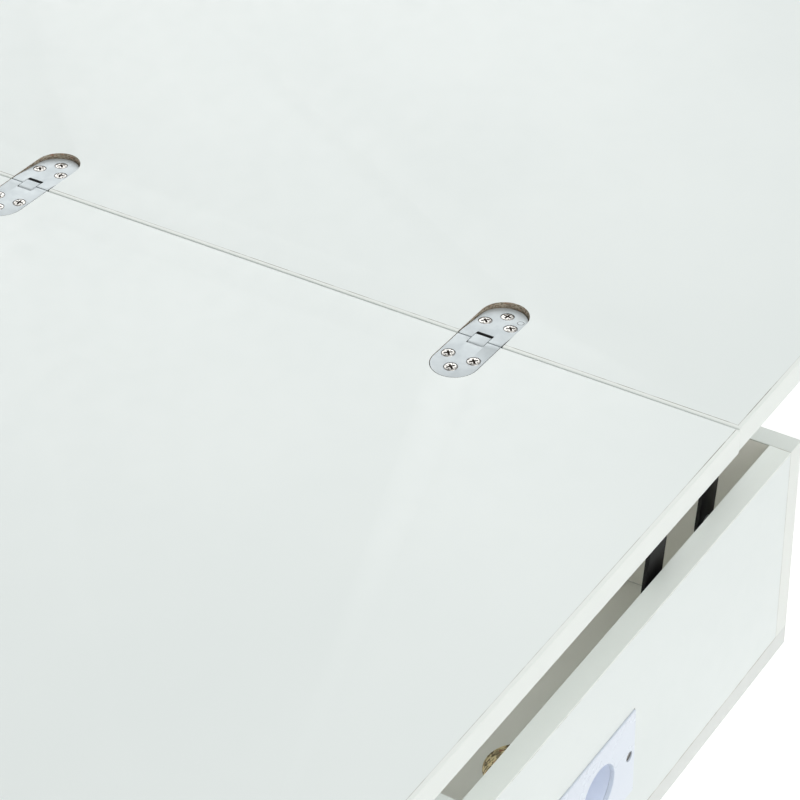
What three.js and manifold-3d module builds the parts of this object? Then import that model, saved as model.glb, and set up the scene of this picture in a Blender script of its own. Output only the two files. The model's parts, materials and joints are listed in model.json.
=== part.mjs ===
// Lift top coffee table, shown raised and unfolded. A storage body stands on a panel base. Two pairs of
// parallel steel arms carry the rear leaf, and the front leaf flips over onto it on three flush hinges.
// Millimetres. X = 0 is the seam between the leaves, -X the sitter's side, Y runs along the table,
// and Z = 0 is the floor.
import * as THREE from "three";
import { mergeVertices } from "three/addons/utils/BufferGeometryUtils.js";
import Module from "manifold-3d";

const wasm = await Module();
wasm.setup();

// ---- Boards ----
const BOARD = 16;
const LEAF_LENGTH = 1000;
const LEAF_DEPTH = 500;
const LEAF_SLIP = 0.4; // each leaf lies this far off the middle, so their ends step by twice as much
const SEAM_HALF = 0.45;
const TOP_Z = 617; // upper face of the raised top
const BODY_LENGTH = 854;
const BODY_DEPTH = 425;
const BODY_HEIGHT = 180;
const BODY_X = 47.5; // middle of the body behind the seam
const RIM_Z = TOP_Z - 203;
const BODY_BASE_Z = RIM_Z - BODY_HEIGHT;
const WALL_HEIGHT = BODY_HEIGHT - BOARD;
const INNER_Y = BODY_LENGTH / 2 - BOARD; // inner face of each side panel

// ---- Base ----
const LEG_INSET = 130;
const LEG_WIDTH = 340;
const STRETCHER_HEIGHT = 120;
const GLIDE_HEIGHT = 3;
const GLIDE_RADIUS = 11;
const GLIDE_INSET = 30;

// ---- Lift mechanism: W is the distance inwards from a side panel's inner face ----
const ARM_LENGTH = 175;
const ARM_WIDTH = 22;
const ARM_THICK = 3;
const ARM_LEAN = THREE.MathUtils.degToRad(10.9); // past vertical, on the stop
const PIVOT_Z = RIM_Z - 27;
const FRONT_PIVOT_X = 88;
const REAR_PIVOT_X = 179;
const PIVOT_RADIUS = 4;
const PIVOT_HEAD = 1.5; // thickness of a rivet's head
const LOWER_COLLAR_RADIUS = 5.5;
const LOWER_HEAD_RADIUS = 5.6;
const UPPER_HEAD_RADIUS = 6.5;
const HEAD_STAND_OFF = 0.2; // between a head and the flat it holds
const PIVOT_PLAY = 0.12;
const OPEN_PIVOT_PLAY = 0.4; // the rear arms' upper bore
const MOUNT_PLATE_W = 0;
const MOUNT_PLATE_THICK = 3;
const MOUNT_PLATE_HEIGHT = 64;
const MOUNT_PLATE_MARGIN = 22;
const FRONT_ARM_W = 5;
const BRACKET_W = 9.5;
const BRACKET_THICK = 3;
const BRACKET_FOOT = 26;
const REAR_ARM_W = 13;
const EAR_RADIUS = 15;
const BRACKET_WEB = 12;
const STOP_RADIUS = 4;
const STOP_UP_ARM = 10;
const TUBE_RADIUS = 8;
const TUBE_WALL = 1.5;
const TUBE_UP_ARM = 112;
const BUMPER_HEIGHT = 1.4;
const BUMPER_RADIUS = 5;
const BUMPER_Y = 300;

// ---- Flush flap hinges, about a pin depth and a pin offset each side of the seam ----
const HINGE_SPACING = LEAF_LENGTH / 3;
const PIN_X = 3.6;
const PIN_DEPTH = 1.6;
const PIN_RADIUS = 0.8;
const PIN_PLAY = 0.1;
const KNUCKLE_RADIUS = 1.6;
const PLATE_LENGTH = 41; // from the seam to the round end
const PLATE_HALF = 14.35;
const PLATE_THICK = 2;
const LINK_HALF = 5.25;
const KNUCKLE_GAP = 0.5;
const KNUCKLE_REACH = 0.35; // the knuckles stop this far from the seam
const KNUCKLE_UNDER = 2.8; // and end this far below the top
const NEAR_LINK_SLOT = 0.5; // between the link's round end and each plate
const FAR_LINK_SLOT = 1.9;
const PLATE_DROP = 0.1;
const FAR_PLATE_TILT = THREE.MathUtils.degToRad(5.2);
const NEAR_POCKET = 2.5;
const FAR_POCKET = 6.3;
const KNUCKLE_TRENCH = 3.7;
const TRENCH_END = 7.2;
const CUT_PAST_SEAM = 2;
const HINGE_SCREWS = [[20.3, -8.5], [20.3, 8.5], [31.3, 0]];
const SCREW_SEAT_RADIUS = 4;
const SCREW_BORE_RADIUS = 2.2;
const SCREW_SEAT_DEPTH = 1.6;

// ---- Socket panel in the right side of the body ----
const SOCKET_Z = RIM_Z - 98.4;
const SOCKET_X = -15;
const FACE_PLATE_LENGTH = 140;
const FACE_PLATE_HEIGHT = 70;
const FACE_PLATE_THICK = 3;
const FACE_PLATE_REBATE = 1.8; // let into the wall
const REBATE_GAP = 0.35;
const FACE_PLATE_X = 31.3 - FACE_PLATE_LENGTH / 2;
const FACE_SCREW_X = 63;
const PILOT_RADIUS = 1.9;
const RECESS_RADIUS = 20;
const RECESS_DEPTH = 17;
const CUP_WALL = 1.8;
const CUP_FLOOR = 4;
const CONTACT_SPACING = 19;
const CONTACT_RADIUS = 2.6;
const USB_X = -71;
const USB_SPACING = 18;
const USB_WIDTH = 13;
const USB_HEIGHT = 5.8;
const USB_DEPTH = 11;
const USB_MODULE_WIDTH = 24;
const EARTH_CLIP_WIDTH = 5;
const HOUSING_LENGTH = 116;
const HOUSING_HEIGHT = 58;
const HOUSING_DEPTH = 43;
const HOUSING_WALL = 2;
const CUTOUT_GAP = 1;
const OUTER_Y = -BODY_LENGTH / 2;

// ---- Cable hole in the bottom panel ----
const CABLE_HOLE_RADIUS = 25;
const CABLE_HOLE = [36, -341];

// ---- Materials ----
const material = (color, roughness, metalness) =>
  new THREE.MeshStandardMaterial({ color, roughness, metalness });
const paint = {
  board: () => material(0xe7eded, 0.45, 0),
  blackSteel: () => material(0x1d1d1f, 0.5, 0.6),
  zinc: () => material(0xb9bcc0, 0.35, 0.9),
  chrome: () => material(0xd9dde4, 0.18, 1),
  plate: () => material(0xe2e9f3, 0.3, 0),
  cup: () => material(0xdfe6f2, 0.35, 0),
  darkPlastic: () => material(0x2a2b2e, 0.5, 0),
  rubber: () => material(0xc9c9c6, 0.8, 0),
};

// ---- Solids ----
function toSolid(geometry) {
  const bare = geometry.index ? geometry.toNonIndexed() : geometry.clone();
  bare.deleteAttribute("normal");
  bare.deleteAttribute("uv");
  const merged = mergeVertices(bare, 1e-4);
  const vertProperties = merged.attributes.position.array;
  const triVerts = new Uint32Array(merged.index.array);
  return new wasm.Manifold(new wasm.Mesh({ numProp: 3, vertProperties, triVerts }));
}

function toGeometry(solid) {
  const mesh = solid.getMesh();
  const positions = new Float32Array(mesh.vertProperties);
  const indexed = new THREE.BufferGeometry();
  indexed.setAttribute("position", new THREE.BufferAttribute(positions, 3));
  indexed.setIndex(new THREE.BufferAttribute(new Uint32Array(mesh.triVerts), 1));
  const geometry = indexed.toNonIndexed();
  geometry.computeVertexNormals();
  return geometry;
}

const cut = (base, ...tools) =>
  toGeometry(tools.reduce((solid, tool) => solid.subtract(toSolid(tool)), toSolid(base)));

const join = (...pieces) =>
  toGeometry(pieces.map(toSolid).reduce((whole, piece) => whole.add(piece)));

// A box given by its low and high corners.
function box([x0, y0, z0], [x1, y1, z1]) {
  const geometry = new THREE.BoxGeometry(x1 - x0, y1 - y0, z1 - z0);
  return geometry.translate((x0 + x1) / 2, (y0 + y1) / 2, (z0 + z1) / 2);
}

// A cylinder along Y between two heights.
function rodY(radius, y0, y1, segments = 16) {
  return new THREE.CylinderGeometry(radius, radius, y1 - y0, segments).translate(0, (y0 + y1) / 2, 0);
}

// A cylinder along Z between two heights.
function rodZ(radius, z0, z1, segments = 20) {
  const rod = new THREE.CylinderGeometry(radius, radius, z1 - z0, segments);
  return rod.rotateX(Math.PI / 2).translate(0, 0, (z0 + z1) / 2);
}

// A shape drawn in X and Z, given a thickness along Y from y0.
function slabY(shape, y0, thickness, curveSegments = 8) {
  const slab = new THREE.ExtrudeGeometry(shape, { depth: thickness, bevelEnabled: false, curveSegments });
  return slab.rotateX(Math.PI / 2).translate(0, y0 + thickness, 0);
}

// A shape drawn in X and Y, given a thickness along Z from z0.
function slabZ(shape, z0, thickness, curveSegments = 12) {
  const slab = new THREE.ExtrudeGeometry(shape, { depth: thickness, bevelEnabled: false, curveSegments });
  return slab.translate(0, 0, z0);
}

function roundedRectangle(width, height, radius) {
  const [w, h] = [width / 2, height / 2];
  const shape = new THREE.Shape();
  shape.moveTo(-w + radius, -h);
  shape.lineTo(w - radius, -h);
  shape.absarc(w - radius, -h + radius, radius, -Math.PI / 2, 0);
  shape.lineTo(w, h - radius);
  shape.absarc(w - radius, h - radius, radius, 0, Math.PI / 2);
  shape.lineTo(-w + radius, h);
  shape.absarc(-w + radius, h - radius, radius, Math.PI / 2, Math.PI);
  shape.lineTo(-w, -h + radius);
  shape.absarc(-w + radius, -h + radius, radius, Math.PI, 1.5 * Math.PI);
  return shape;
}

function roundHole(x, y, radius) {
  const hole = new THREE.Path();
  hole.absarc(x, y, radius, 0, 2 * Math.PI, true);
  return hole;
}

// Turned about Y. Each pair is a radius and a height, listed upwards from the axis back to the axis.
function turned(profile, segments = 16) {
  return new THREE.LatheGeometry(profile.map(([r, y]) => new THREE.Vector2(r, y)), segments);
}

// ---- Scene graph: one group for each rigid body ----
const table = new THREE.Group();
const body = new THREE.Group();
const topCarrier = new THREE.Group();
const nearLeaf = new THREE.Group();
table.add(body, topCarrier, nearLeaf);

function add(group, name, geometry, surface, [x, y, z] = [0, 0, 0]) {
  const mesh = new THREE.Mesh(geometry, surface());
  mesh.name = name;
  mesh.position.set(x, y, z);
  group.add(mesh);
  return mesh;
}

// ---- Storage body ----
function buildBody() {
  const [hx, hy] = [BODY_DEPTH / 2, BODY_LENGTH / 2];
  const floor = box([-hx, -hy, 0], [hx, hy, BOARD]);
  const cableHole = rodZ(CABLE_HOLE_RADIUS, -1, BOARD + 1, 40);
  cableHole.translate(CABLE_HOLE[0] - BODY_X, CABLE_HOLE[1], 0);
  add(body, "bottom_panel", cut(floor, cableHole), paint.board, [BODY_X, 0, BODY_BASE_Z]);

  const wallZ = BODY_BASE_Z + BOARD + WALL_HEIGHT / 2;
  const longWall = () => new THREE.BoxGeometry(BOARD, BODY_LENGTH, WALL_HEIGHT);
  add(body, "front_panel", longWall(), paint.board, [BODY_X - hx + BOARD / 2, 0, wallZ]);
  add(body, "back_panel", longWall(), paint.board, [BODY_X + hx - BOARD / 2, 0, wallZ]);

  const sideWall = () => new THREE.BoxGeometry(BODY_DEPTH - 2 * BOARD, BOARD, WALL_HEIGHT);
  const sideY = hy - BOARD / 2;
  add(body, "left_side_panel", sideWall(), paint.board, [BODY_X, sideY, wallZ]);
  const socketX = FACE_PLATE_X - BODY_X;
  const socketZ = SOCKET_Z - wallZ;
  const cutout = new THREE.BoxGeometry(
    HOUSING_LENGTH + 2 * CUTOUT_GAP, 2 * BOARD, HOUSING_HEIGHT + 2 * CUTOUT_GAP);
  cutout.translate(socketX, 0, socketZ);
  const rebate = new THREE.BoxGeometry(
    FACE_PLATE_LENGTH + 2 * REBATE_GAP, 2 * FACE_PLATE_REBATE, FACE_PLATE_HEIGHT + 2 * REBATE_GAP);
  rebate.translate(socketX, -BOARD / 2, socketZ);
  const pilots = [-1, 1].map((end) => rodY(PILOT_RADIUS, -BOARD / 2 - 1, BOARD / 2 - 2, 12)
    .translate(socketX + end * FACE_SCREW_X, 0, socketZ));
  const rightWall = cut(sideWall(), cutout, rebate, ...pilots);
  add(body, "right_side_panel", rightWall, paint.board, [BODY_X, -sideY, wallZ]);

  for (const [sx, edge] of [[-1, "front"], [1, "back"]]) {
    for (const [sy, side] of [[-1, "right"], [1, "left"]]) {
      const bumper = rodZ(BUMPER_RADIUS, 0, BUMPER_HEIGHT, 16);
      const x = BODY_X + sx * (hx - BOARD / 2);
      add(body, `rim_bumper_${edge}_${side}`, bumper, paint.rubber, [x, sy * BUMPER_Y, RIM_Z]);
    }
  }
}

// ---- Panel base ----
function buildBase() {
  const legHeight = BODY_BASE_Z - GLIDE_HEIGHT;
  const legY = BODY_LENGTH / 2 - LEG_INSET - BOARD / 2;
  for (const [s, side] of [[-1, "right"], [1, "left"]]) {
    const leg = new THREE.BoxGeometry(LEG_WIDTH, BOARD, legHeight);
    add(body, `leg_panel_${side}`, leg, paint.board, [BODY_X, s * legY, GLIDE_HEIGHT + legHeight / 2]);
    for (const [sx, end] of [[-1, "front"], [1, "back"]]) {
      const x = BODY_X + sx * (LEG_WIDTH / 2 - GLIDE_INSET);
      const glide = rodZ(GLIDE_RADIUS, 0, GLIDE_HEIGHT);
      add(body, `glide_${end}_${side}`, glide, paint.darkPlastic, [x, s * legY, 0]);
    }
  }
  const stretcherLength = 2 * legY - BOARD;
  const stretcher = new THREE.BoxGeometry(BOARD, stretcherLength, STRETCHER_HEIGHT);
  add(body, "stretcher_panel", stretcher, paint.board, [BODY_X, 0, BODY_BASE_Z - STRETCHER_HEIGHT / 2]);
}

// ---- Lift mechanism ----
// A flat arm with its lower pivot at the origin, standing up along Z.
function armGeometry(w, upperPlay) {
  const r = ARM_WIDTH / 2;
  const outline = new THREE.Shape();
  outline.absarc(0, 0, r, Math.PI, 2 * Math.PI);
  outline.absarc(0, ARM_LENGTH, r, 0, Math.PI);
  outline.holes.push(roundHole(0, 0, PIVOT_RADIUS + PIVOT_PLAY));
  outline.holes.push(roundHole(0, ARM_LENGTH, PIVOT_RADIUS + upperPlay));
  return slabY(outline, w, ARM_THICK);
}

function mountPlateGeometry() {
  const length = REAR_PIVOT_X - FRONT_PIVOT_X + 2 * MOUNT_PLATE_MARGIN;
  return slabY(roundedRectangle(length, MOUNT_PLATE_HEIGHT, 8), MOUNT_PLATE_W, MOUNT_PLATE_THICK, 3);
}

// An angle bracket under the rear leaf: a foot, a shallow web and one round ear for each upper pivot.
// Its origin is halfway between the two pivots, at their height.
function bracketGeometry(drop) {
  const half = (REAR_PIVOT_X - FRONT_PIVOT_X) / 2;
  const end = half + EAR_RADIUS;
  const web = drop - BRACKET_WEB;
  const outline = new THREE.Shape();
  outline.moveTo(-end, drop);
  outline.lineTo(-end, 0);
  outline.absarc(-half, 0, EAR_RADIUS, Math.PI, 2 * Math.PI);
  outline.lineTo(-half + EAR_RADIUS, web);
  outline.lineTo(half - EAR_RADIUS, web);
  outline.lineTo(half - EAR_RADIUS, 0);
  outline.absarc(half, 0, EAR_RADIUS, Math.PI, 2 * Math.PI);
  outline.lineTo(end, drop);
  for (const x of [-half, half]) outline.holes.push(roundHole(x, 0, PIVOT_RADIUS + PIVOT_PLAY));
  const foot = box([-end, BRACKET_W, drop - BRACKET_THICK], [end, BRACKET_W + BRACKET_FOOT, drop]);
  return join(slabY(outline, BRACKET_W, BRACKET_THICK), foot);
}

// A shouldered rivet through the plates between two distances inwards, with a head at one or both ends.
function rivet(start, end, { collar = 0, collarEnd = start, outerHead = 0, innerHead = 0 }) {
  const profile = [];
  if (outerHead) profile.push([0, start], [outerHead, start], [outerHead, start + PIVOT_HEAD]);
  else if (collar) profile.push([0, start], [collar, start], [collar, collarEnd]);
  else profile.push([0, start]);
  const shankStart = outerHead ? start + PIVOT_HEAD : collarEnd;
  profile.push([PIVOT_RADIUS, shankStart]);
  if (innerHead) {
    const neck = end - PIVOT_HEAD;
    profile.push([PIVOT_RADIUS, neck], [innerHead, neck], [innerHead * 0.8, end]);
  } else {
    profile.push([PIVOT_RADIUS, end]);
  }
  profile.push([0, end]);
  return turned(profile);
}

function buildLift() {
  const midX = (FRONT_PIVOT_X + REAR_PIVOT_X) / 2;
  const [shiftX, rise] = [ARM_LENGTH * Math.sin(ARM_LEAN), ARM_LENGTH * Math.cos(ARM_LEAN)];
  const upperZ = PIVOT_Z + rise;
  const drop = TOP_Z - BOARD - upperZ;
  const frontEnd = FRONT_ARM_W + ARM_THICK;
  for (const [s, side] of [[-1, "right"], [1, "left"]]) {
    const station = new THREE.Group(); // its Y runs inwards from the side panel
    station.position.y = s * INNER_Y;
    station.scale.y = -s;
    table.add(station);
    const plateZ = RIM_Z - 8 - MOUNT_PLATE_HEIGHT / 2;
    add(station, `mount_plate_${side}`, mountPlateGeometry(), paint.blackSteel, [midX, 0, plateZ]);

    for (const [name, x, w, play] of [
      ["front", FRONT_PIVOT_X, FRONT_ARM_W, PIVOT_PLAY],
      ["rear", REAR_PIVOT_X, REAR_ARM_W, OPEN_PIVOT_PLAY],
    ]) {
      const flat = armGeometry(w, play);
      const arm = add(station, `${name}_arm_${side}`, flat, paint.blackSteel, [x, 0, PIVOT_Z]);
      arm.rotation.y = ARM_LEAN;
      const collarEnd = w - HEAD_STAND_OFF;
      const lower = rivet(MOUNT_PLATE_THICK, w + ARM_THICK + HEAD_STAND_OFF + PIVOT_HEAD,
        { collar: LOWER_COLLAR_RADIUS, collarEnd, innerHead: LOWER_HEAD_RADIUS });
      add(station, `${name}_lower_pivot_${side}`, lower, paint.zinc, [x, 0, PIVOT_Z]);
    }

    const away = ARM_WIDTH / 2 + STOP_RADIUS + 0.1;
    const stopX = FRONT_PIVOT_X + STOP_UP_ARM * Math.sin(ARM_LEAN) + away * Math.cos(ARM_LEAN);
    const stopZ = PIVOT_Z + STOP_UP_ARM * Math.cos(ARM_LEAN) - away * Math.sin(ARM_LEAN);
    const stop = rodY(STOP_RADIUS, MOUNT_PLATE_THICK, frontEnd);
    add(station, `arm_stop_${side}`, stop, paint.zinc, [stopX, 0, stopZ]);

    const bracketX = midX + shiftX;
    add(station, `top_bracket_${side}`, bracketGeometry(drop), paint.blackSteel, [bracketX, 0, upperZ]);
    const headPast = HEAD_STAND_OFF + PIVOT_HEAD;
    const frontUpper = rivet(FRONT_ARM_W - headPast, BRACKET_W + BRACKET_THICK + headPast,
      { outerHead: UPPER_HEAD_RADIUS, innerHead: UPPER_HEAD_RADIUS });
    add(station, `front_upper_pivot_${side}`, frontUpper, paint.zinc, [FRONT_PIVOT_X + shiftX, 0, upperZ]);
    const rearUpper = rivet(BRACKET_W + 0.1, REAR_ARM_W + ARM_THICK + headPast,
      { innerHead: UPPER_HEAD_RADIUS });
    add(station, `rear_upper_pivot_${side}`, rearUpper, paint.zinc, [REAR_PIVOT_X + shiftX, 0, upperZ]);
  }
  const half = INNER_Y - frontEnd - 0.3;
  const bore = TUBE_RADIUS - TUBE_WALL;
  const wall = [[bore, -half], [TUBE_RADIUS, -half], [TUBE_RADIUS, half], [bore, half], [bore, -half]];
  const along = TUBE_UP_ARM / ARM_LENGTH;
  const tubeAt = [FRONT_PIVOT_X + along * shiftX, 0, PIVOT_Z + along * rise];
  add(table, "cross_tube", turned(wall), paint.blackSteel, tubeAt);
}

// ---- Top leaves and hinges ----
// Half of a stadium that runs from x = start to x = end with a round end.
function halfStadium(start, end, half) {
  const shape = new THREE.Shape();
  shape.moveTo(start, -half);
  shape.lineTo(end - half, -half);
  shape.absarc(end - half, 0, half, -Math.PI / 2, Math.PI / 2);
  shape.lineTo(start, half);
  return shape;
}

// The hinge pocket of one leaf, opened from its upper face, with a deeper trench under the knuckles.
function pocketTools(depth, clearance, reach) {
  const half = PLATE_HALF + clearance;
  const lobe = slabZ(halfStadium(-CUT_PAST_SEAM, reach, half), -depth, depth + 1);
  const floor = -Math.max(depth, KNUCKLE_TRENCH);
  const trench = box([-CUT_PAST_SEAM, -half, floor], [TRENCH_END, half, 1]);
  return [lobe, trench];
}

// A leaf with x = 0 at the seam and growing towards +X, its upper face at z = 0.
function leafGeometry(depth, clearance, reach) {
  const leaf = box([SEAM_HALF, -LEAF_LENGTH / 2, -BOARD], [LEAF_DEPTH, LEAF_LENGTH / 2, 0]);
  const tools = [];
  for (const k of [-1, 0, 1]) {
    const y = k * HINGE_SPACING - LEAF_SLIP; // the pockets stay over the hinges, whichever way the leaf slips
    for (const tool of pocketTools(depth, clearance, reach)) tools.push(tool.translate(0, y, 0));
  }
  return [leaf, tools];
}

// One hinge plate with x = 0 at the seam, growing towards +X. Its knuckles stay level about the pin, and
// the plate beside them can tip down towards its round end.
function hingePlateGeometry(tilt, linkSlot) {
  const plateStart = PIN_X + KNUCKLE_RADIUS + linkSlot;
  const knuckleStart = LINK_HALF + KNUCKLE_GAP;
  const under = -PLATE_DROP - PLATE_THICK;
  const tip = (geometry) =>
    geometry.translate(-PIN_X, 0, PIN_DEPTH).rotateY(tilt).translate(PIN_X, 0, -PIN_DEPTH);
  const pieces = [tip(slabZ(halfStadium(plateStart, PLATE_LENGTH, PLATE_HALF), under, PLATE_THICK))];
  for (const s of [-1, 1]) {
    const [y0, y1] = s < 0 ? [-PLATE_HALF, -knuckleStart] : [knuckleStart, PLATE_HALF];
    pieces.push(tip(box([PIN_X, y0, under], [plateStart + 2, y1, -PLATE_DROP])));
    pieces.push(box([KNUCKLE_REACH, y0, -KNUCKLE_UNDER], [PIN_X, y1, -PLATE_DROP]));
    pieces.push(rodY(KNUCKLE_RADIUS, y0, y1).translate(PIN_X, 0, -PIN_DEPTH));
  }
  const seat = turned([[0, -PLATE_THICK - 1], [SCREW_BORE_RADIUS, -PLATE_THICK - 1],
    [SCREW_BORE_RADIUS, -SCREW_SEAT_DEPTH], [SCREW_SEAT_RADIUS, 0], [SCREW_SEAT_RADIUS, 1], [0, 1]], 14);
  seat.rotateX(Math.PI / 2);
  const tools = HINGE_SCREWS.map(([x, y]) => tip(seat.clone().translate(x, y, -PLATE_DROP)));
  const bore = rodY(PIN_RADIUS + PIN_PLAY, -PLATE_HALF - 1, PLATE_HALF + 1, 12);
  tools.push(bore.translate(PIN_X, 0, -PIN_DEPTH));
  return cut(join(...pieces), ...tools);
}

function linkGeometry() {
  const outline = new THREE.Shape();
  outline.absarc(-PIN_X, 0, KNUCKLE_RADIUS, Math.PI / 2, 1.5 * Math.PI);
  outline.absarc(PIN_X, 0, KNUCKLE_RADIUS, -Math.PI / 2, Math.PI / 2);
  for (const x of [-PIN_X, PIN_X]) outline.holes.push(roundHole(x, 0, PIN_RADIUS + PIN_PLAY));
  return slabY(outline, -LINK_HALF, 2 * LINK_HALF, 6);
}

const mirrorX = (geometry) => geometry.rotateZ(Math.PI); // for pieces that are symmetric in Y

function buildTop() {
  const [farBlank, farTools] = leafGeometry(FAR_POCKET, 0.65, PLATE_LENGTH + 1.3);
  add(topCarrier, "rear_leaf", cut(farBlank, ...farTools), paint.board, [0, LEAF_SLIP, TOP_Z]);
  const [nearBlank, nearTools] = leafGeometry(NEAR_POCKET, 0.35, PLATE_LENGTH + 0.35);
  add(nearLeaf, "front_leaf", mirrorX(cut(nearBlank, ...nearTools)), paint.board, [0, -LEAF_SLIP, TOP_Z]);

  for (const [k, where] of [[-1, "right"], [0, "middle"], [1, "left"]]) {
    const hinge = [0, k * HINGE_SPACING, TOP_Z];
    const pin = () => rodY(PIN_RADIUS, -PLATE_HALF + 0.2, PLATE_HALF - 0.2, 10);
    const rearPlate = hingePlateGeometry(FAR_PLATE_TILT, FAR_LINK_SLOT);
    add(topCarrier, `hinge_rear_plate_${where}`, rearPlate, paint.chrome, hinge);
    const frontPlate = mirrorX(hingePlateGeometry(0, NEAR_LINK_SLOT));
    add(nearLeaf, `hinge_front_plate_${where}`, frontPlate, paint.chrome, hinge);
    add(table, `hinge_link_${where}`, linkGeometry(), paint.chrome, [0, hinge[1], TOP_Z - PIN_DEPTH]);
    add(topCarrier, `hinge_rear_pin_${where}`, pin(), paint.zinc, [PIN_X, hinge[1], TOP_Z - PIN_DEPTH]);
    add(nearLeaf, `hinge_front_pin_${where}`, pin(), paint.zinc, [-PIN_X, hinge[1], TOP_Z - PIN_DEPTH]);
  }
}

// A sprung earth strip along the top of the recess: drawn in Y and Z, and given its width along X.
function earthClipGeometry(floorY, recessRadius) {
  const top = recessRadius - 0.6;
  const clip = new THREE.Shape();
  clip.moveTo(2, top);
  clip.lineTo(floorY - 0.4, top);
  clip.lineTo(floorY - 0.4, top - 1);
  clip.lineTo(8.5, top - 3.4);
  clip.lineTo(5, top - 3.4);
  clip.lineTo(2, top - 1);
  const [x, y, z] = [[1, 0, 0], [0, 1, 0], [0, 0, 1]].map((axis) => new THREE.Vector3(...axis));
  const strip = new THREE.ExtrudeGeometry(clip, { depth: EARTH_CLIP_WIDTH, bevelEnabled: false });
  return strip.translate(0, 0, -EARTH_CLIP_WIDTH / 2).applyMatrix4(new THREE.Matrix4().makeBasis(y, z, x));
}

// ---- Power socket: its origin is the middle of the face plate's back, with +Y into the wall ----
function buildSocket() {
  const socket = new THREE.Group();
  socket.position.set(FACE_PLATE_X, OUTER_Y + FACE_PLATE_REBATE, SOCKET_Z);
  body.add(socket);
  const recessX = SOCKET_X - FACE_PLATE_X;
  const usbX = USB_X - FACE_PLATE_X;
  const usbPort = (grow, y0, y1, z) => box(
    [usbX - USB_WIDTH / 2 - grow, y0, z - USB_HEIGHT / 2 - grow],
    [usbX + USB_WIDTH / 2 + grow, y1, z + USB_HEIGHT / 2 + grow]);
  const portHeights = [-USB_SPACING / 2, USB_SPACING / 2];

  const [fl, fh] = [FACE_PLATE_LENGTH / 2, FACE_PLATE_HEIGHT / 2];
  const corners = [[-fl, -fh], [fl, -fh], [fl, fh], [-fl, fh]];
  const face = new THREE.Shape(corners.map(([x, z]) => new THREE.Vector2(x, z)));
  face.holes.push(roundHole(recessX, 0, RECESS_RADIUS));
  const ports = portHeights.map((z) => usbPort(0.3, -FACE_PLATE_THICK - 1, 1, z));
  const screwSeat = turned(
    [[0, -FACE_PLATE_THICK - 1], [3.7, -FACE_PLATE_THICK - 1], [3.7, -1.6], [1.9, -1.6], [1.9, 1], [0, 1]]);
  const seats = [-1, 1].map((end) => screwSeat.clone().translate(end * FACE_SCREW_X, 0, 0));
  const facePlate = cut(slabY(face, -FACE_PLATE_THICK, FACE_PLATE_THICK, 18), ...ports, ...seats);
  add(socket, "socket_face_plate", facePlate, paint.plate);

  const floorY = RECESS_DEPTH - FACE_PLATE_THICK;
  const [inner, outer] = [RECESS_RADIUS - 0.2, RECESS_RADIUS - 0.2 + CUP_WALL];
  const shell = turned(
    [[0, floorY], [inner, floorY], [inner, 0.2], [outer, 0.2], [outer, floorY + CUP_FLOOR],
      [0, floorY + CUP_FLOOR]], 36);
  const contacts = [-1, 1].map((side) =>
    rodY(CONTACT_RADIUS, floorY - 1, floorY + CUP_FLOOR + 1, 16).translate(side * CONTACT_SPACING / 2, 0, 0));
  add(socket, "socket_cup", cut(shell, ...contacts), paint.cup, [recessX, 0, 0]);

  for (const [turn, where] of [[0, "upper"], [Math.PI, "lower"]]) {
    const strip = earthClipGeometry(floorY, inner);
    const clip = add(socket, `earth_clip_${where}`, strip, paint.zinc, [recessX, 0, 0]);
    clip.rotation.y = turn;
  }

  const moduleHalf = USB_MODULE_WIDTH / 2;
  const module = box([usbX - moduleHalf, 0.3, -USB_SPACING], [usbX + moduleHalf, USB_DEPTH + 4, USB_SPACING]);
  const cavities = portHeights.map((z) => usbPort(0, -1, USB_DEPTH, z));
  add(socket, "usb_module", cut(module, ...cavities), paint.darkPlastic);

  const [hl, hh] = [HOUSING_LENGTH / 2, HOUSING_HEIGHT / 2];
  const shellOuter = box([-hl, 0.3, -hh], [hl, HOUSING_DEPTH, hh]);
  const [il, ih] = [hl - HOUSING_WALL, hh - HOUSING_WALL];
  const shellInner = box([-il, -1, -ih], [il, HOUSING_DEPTH - HOUSING_WALL, ih]);
  const cordHole = rodZ(4.5, -hh - 1, -hh + HOUSING_WALL + 1, 16).translate(0, HOUSING_DEPTH - 12, 0);
  add(socket, "socket_housing", cut(shellOuter, shellInner, cordHole), paint.darkPlastic);

  for (const [end, where] of [[-1, "front"], [1, "back"]]) {
    const screw = turned([[0, -FACE_PLATE_THICK + 0.2], [3.3, -FACE_PLATE_THICK + 0.4], [3.3, -1.8],
      [1.6, -1.8], [1.6, BOARD - 6], [0, BOARD - 5]], 12);
    add(socket, `face_screw_${where}`, screw, paint.zinc, [end * FACE_SCREW_X, 0, 0]);
  }
}

buildBody();
buildBase();
buildLift();
buildTop();
buildSocket();

export default table;
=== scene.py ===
"""The look of the lift top coffee table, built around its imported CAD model, in metres and in the same frame.

Boards get rounded edge bands, glue lines and raw chipboard in their cuts. The steel lift, the flush hinges
with their screws and the socket panel are rebuilt finely where the CAD solids stand.
"""
import json
import math
import random

import bmesh
import bpy
from mathutils import Matrix, Vector
from mathutils.geometry import tessellate_polygon

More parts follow.
